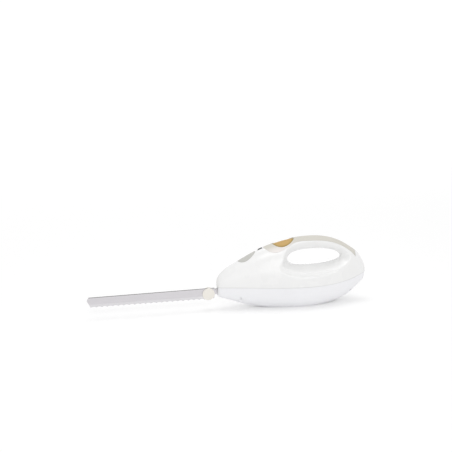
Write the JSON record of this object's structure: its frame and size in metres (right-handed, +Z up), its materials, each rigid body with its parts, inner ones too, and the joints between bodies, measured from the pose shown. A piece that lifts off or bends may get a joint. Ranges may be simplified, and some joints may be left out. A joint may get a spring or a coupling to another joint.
{
  "type": "electric carving knife",
  "caption": "Hand-held electric carving knife with a looped handle, a worm-driven pair of serrated blades that slide against each other, a trigger, a safety slide and a blade release.",
  "frame": {"origin": "on the flat base face, on the mid plane between the two blades", "axes": "+Z up out of the base, +X from the blades to the tail, +Y to the right-hand side of a user"},
  "size_m": [0.4708, 0.064, 0.1191],
  "materials": {
    "white_plastic": "satin-gloss moulded",
    "white_lower": "satin moulded",
    "grip_rubber": "soft matt moulded",
    "amber_plastic": "satin moulded",
    "grey_plastic": "satin moulded",
    "black_plastic": "matt moulded",
    "cream_plastic": "satin moulded",
    "blade_steel": "ground lengthwise",
    "spring_steel": "bright drawn",
    "zinc_screw": "zinc plated",
    "gear_plastic": "moulded, greased",
    "frame_plastic": "moulded",
    "bronze": "turned",
    "copper": "wound or turned",
    "lamination": "stacked sheet",
    "carbon": "pressed"
  },
  "bodies": {
    "housing": {"upper_shell": "white_plastic", "lower_shell": "white_lower", "grip_cover": "grip_rubber", "blade_guide": "black_plastic", "gear_frame": "frame_plastic", "frame_screws": "zinc_screw", "wheel_axle": "spring_steel", "front_bush": "bronze", "rear_bush": "bronze", "rear_bracket": "frame_plastic", "stator_core": "lamination", "field_coils": "copper", "motor_screws": "zinc_screw", "brush_holders": "bronze", "carbon_brushes": "carbon", "brush_springs": "spring_steel", "switch_body": "black_plastic", "switch_screws": "zinc_screw", "trigger_spring": "spring_steel", "release_spring": "spring_steel", "capacitor": "frame_plastic", "cord_inlet": "black_plastic", "housing_screws": "zinc_screw"},
    "rotor": {"rotor_shaft": "spring_steel", "drive_worm": "bronze", "rotor_core": "lamination", "rotor_windings": "copper", "commutator": "copper", "cooling_fan": "black_plastic"},
    "wheel": {"worm_wheel": "gear_plastic", "eccentrics": "spring_steel"},
    "left_carrier": {"carrier_left": "gear_plastic", "blade_clip_left": "spring_steel"},
    "right_carrier": {"carrier_right": "gear_plastic", "blade_clip_right": "spring_steel"},
    "left_blade": {"blade_left": "blade_steel", "blade_disc_left": "cream_plastic"},
    "right_blade": {"blade_right": "blade_steel", "blade_disc_right": "cream_plastic"},
    "trigger_body": {"trigger": "amber_plastic", "switch_plunger": "frame_plastic"},
    "safety_body": {"safety_slide": "black_plastic", "safety_retainer": "black_plastic"},
    "release_body": {"release_button": "grey_plastic", "release_fork": "frame_plastic"}
  },
  "joints": [
    {"name": "rotor_spin", "type": "hinge", "parent": "housing", "child": "rotor", "pos_m": [0, 0, 0.038], "axis": [1, 0, 0], "range_deg": [-1170, 1170]},
    {"name": "wheel_turn", "type": "hinge", "parent": "housing", "child": "wheel", "pos_m": [-0.03, 0, 0.021], "axis": [0, 1, 0], "range_deg": [-90, 90]},
    {"name": "left_stroke", "type": "slide", "parent": "housing", "child": "left_carrier", "axis": [1, 0, 0], "range_m": [-0.003, 0.003]},
    {"name": "right_stroke", "type": "slide", "parent": "housing", "child": "right_carrier", "axis": [1, 0, 0], "range_m": [-0.003, 0.003]},
    {"name": "left_blade_pull", "type": "slide", "parent": "left_carrier", "child": "left_blade", "axis": [-1, 0, 0], "range_m": [0, 0.075], "deforming": ["blade_clip_left"]},
    {"name": "right_blade_pull", "type": "slide", "parent": "right_carrier", "child": "right_blade", "axis": [-1, 0, 0], "range_m": [0, 0.075], "deforming": ["blade_clip_right"]},
    {"name": "trigger_press", "type": "slide", "parent": "housing", "child": "trigger_body", "axis": [0, 0, -1], "range_m": [0, 0.0035], "stiffness_N_per_m": 900, "springref_m": -0.003, "deforming": ["trigger_spring"]},
    {"name": "safety_shift", "type": "slide", "parent": "housing", "child": "safety_body", "axis": [-0.9226, 0, -0.3858], "range_m": [0, 0.0025]},
    {"name": "release_press", "type": "slide", "parent": "housing", "child": "release_body", "axis": [0, 0, -1], "range_m": [0, 0.004], "stiffness_N_per_m": 1100, "springref_m": -0.003, "deforming": ["release_spring", "blade_clip_left", "blade_clip_right"]}
  ],
  "couplings": [
    {"joint": "wheel_turn", "follows": "left_stroke", "rad_per_m": 523.59},
    {"joint": "rotor_spin", "follows": "left_stroke", "rad_per_m": -6806.7},
    {"joint": "right_stroke", "follows": "left_stroke", "ratio": -1},
    {"joint": "right_blade_pull", "follows": "left_blade_pull", "ratio": 1}
  ]
}
